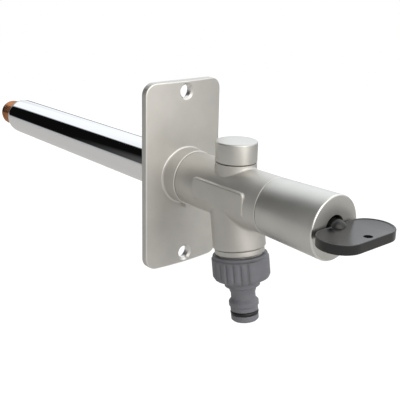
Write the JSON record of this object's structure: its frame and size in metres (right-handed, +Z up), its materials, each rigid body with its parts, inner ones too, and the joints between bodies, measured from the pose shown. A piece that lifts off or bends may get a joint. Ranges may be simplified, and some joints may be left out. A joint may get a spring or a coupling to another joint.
{
  "type": "frost free sillcock",
  "caption": "Outdoor wall tap worked by a loose socket key, with its valve deep inside the warm wall, an air valve on top and a hose connector.",
  "frame": {"origin": "centre of the wall plate's back face, on the tap's axis, in the plane of the finished wall", "axes": "+Y runs into the wall along the tap's axis, -Y comes out to the user, +Z is up, +X is to the right for someone who faces the wall"},
  "size_m": [0.058, 0.395, 0.1354],
  "materials": {
    "satin_nickel": "satin nickel plate on brass",
    "polished_chrome": "polished",
    "gunmetal": "bare turned gunmetal",
    "brass": "turned",
    "steel": "turned stainless steel",
    "rubber": "matt",
    "white_nylon": "matt",
    "black_plastic": "satin",
    "grey_plastic": "matt"
  },
  "bodies": {
    "tap": {"wall_plate": "satin_nickel", "casing_tube": "polished_chrome", "inlet_stub": "gunmetal", "inlet_o_ring": "rubber", "tap_body": "satin_nickel", "tube_o_ring": "rubber", "headwork": "brass", "headwork_seal": "rubber", "gland_nut": "brass", "sleeve": "satin_nickel", "breaker_insert": "brass", "breaker_o_ring": "rubber", "breaker_clip": "steel", "breaker_cap": "satin_nickel"},
    "spindle": {"spindle": "steel", "spindle_o_rings": "rubber"},
    "rod": {"rod_nut": "brass", "valve_rod": "steel", "rod_guides": "white_nylon", "valve_head": "brass", "seat_washer": "rubber", "washer_screw": "steel"},
    "key": {"socket_key": "black_plastic"},
    "float": {"breaker_float": "white_nylon", "breaker_seal": "rubber"},
    "outlet_washer": {"connector_washer": "rubber"},
    "connector": {"hose_connector": "grey_plastic", "connector_o_ring": "rubber"}
  },
  "joints": [
    {"name": "spindle_turn", "type": "hinge", "parent": "tap", "child": "spindle", "pos_m": [0, -0.1, 0], "axis": [0, -1, 0], "range_deg": [0, 720]},
    {"name": "rod_draw", "type": "slide", "parent": "tap", "child": "rod", "axis": [0, -1, 0], "range_m": [0, 0.0057]},
    {"name": "key_pull", "type": "slide", "parent": "spindle", "child": "key", "axis": [0, -1, 0], "range_m": [0, 0.03]},
    {"name": "float_rise", "type": "slide", "parent": "tap", "child": "float", "axis": [0, 0, 1], "range_m": [0, 0.0043]},
    {"name": "washer_drop", "type": "slide", "parent": "tap", "child": "outlet_washer", "axis": [0, -0.1633, -0.9866], "range_m": [0, 0.01088]},
    {"name": "connector_turn", "type": "hinge", "parent": "outlet_washer", "child": "connector", "pos_m": [0, -0.0614, -0.05919], "axis": [0, -0.1633, -0.9866], "range_deg": [0, 2160]}
  ],
  "couplings": [
    {"joint": "rod_draw", "follows": "spindle_turn", "m_per_rad": 0.00043768},
    {"joint": "washer_drop", "follows": "connector_turn", "m_per_rad": 0.00028871}
  ]
}
